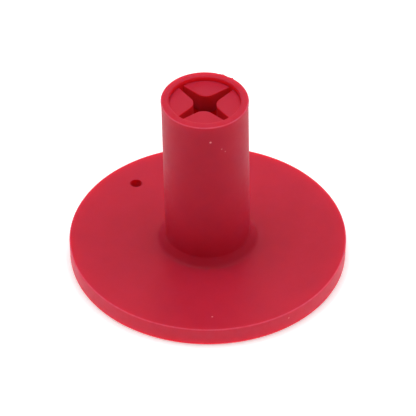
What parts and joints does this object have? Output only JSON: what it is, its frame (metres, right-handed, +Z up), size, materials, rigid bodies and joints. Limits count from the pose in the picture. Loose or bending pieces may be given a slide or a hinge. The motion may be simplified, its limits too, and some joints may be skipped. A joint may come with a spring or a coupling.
{
  "type": "golf tee holder",
  "caption": "Rubber tee holder: a flat round disc carries an upright tube with a recessed top, where a cross-shaped opening between flexing lobes grips a wooden tee.",
  "frame": {"origin": "centre of the disc's flat underside, on the tube's axis", "axes": "+Z up along the tube; the lobes lie on +X, +Y, -X and -Y, and the arms of the cross and the tether hole lie between them, the hole towards -X +Y"},
  "size_m": [0.065, 0.065, 0.0459],
  "materials": {
    "red_rubber": "fine matte moulded red rubber"
  },
  "bodies": {
    "base": {"base_flange": "red_rubber"},
    "tube": {"tube": "red_rubber"},
    "lobe_right": {"grip_lobe_right": "red_rubber"},
    "lobe_back": {"grip_lobe_back": "red_rubber"},
    "lobe_left": {"grip_lobe_left": "red_rubber"},
    "lobe_front": {"grip_lobe_front": "red_rubber"}
  },
  "joints": [
    {"name": "tube_lean", "type": "hinge", "parent": "base", "child": "tube", "pos_m": [0, 0, 0.012], "axis": [0, 1, 0], "range_deg": [-30, 30], "stiffness_Nm_per_rad": 1.2},
    {"name": "lobe_right_flex", "type": "hinge", "parent": "tube", "child": "lobe_right", "pos_m": [0.0059, 0, 0.0448], "axis": [0, -1, 0], "range_deg": [-6, 12], "stiffness_Nm_per_rad": 0.03},
    {"name": "lobe_back_flex", "type": "hinge", "parent": "tube", "child": "lobe_back", "pos_m": [0, 0.0059, 0.0448], "axis": [1, 0, 0], "range_deg": [-6, 12], "stiffness_Nm_per_rad": 0.03},
    {"name": "lobe_left_flex", "type": "hinge", "parent": "tube", "child": "lobe_left", "pos_m": [-0.0059, 0, 0.0448], "axis": [0, 1, 0], "range_deg": [-6, 12], "stiffness_Nm_per_rad": 0.03},
    {"name": "lobe_front_flex", "type": "hinge", "parent": "tube", "child": "lobe_front", "pos_m": [0, -0.0059, 0.0448], "axis": [-1, 0, 0], "range_deg": [-6, 12], "stiffness_Nm_per_rad": 0.03}
  ]
}
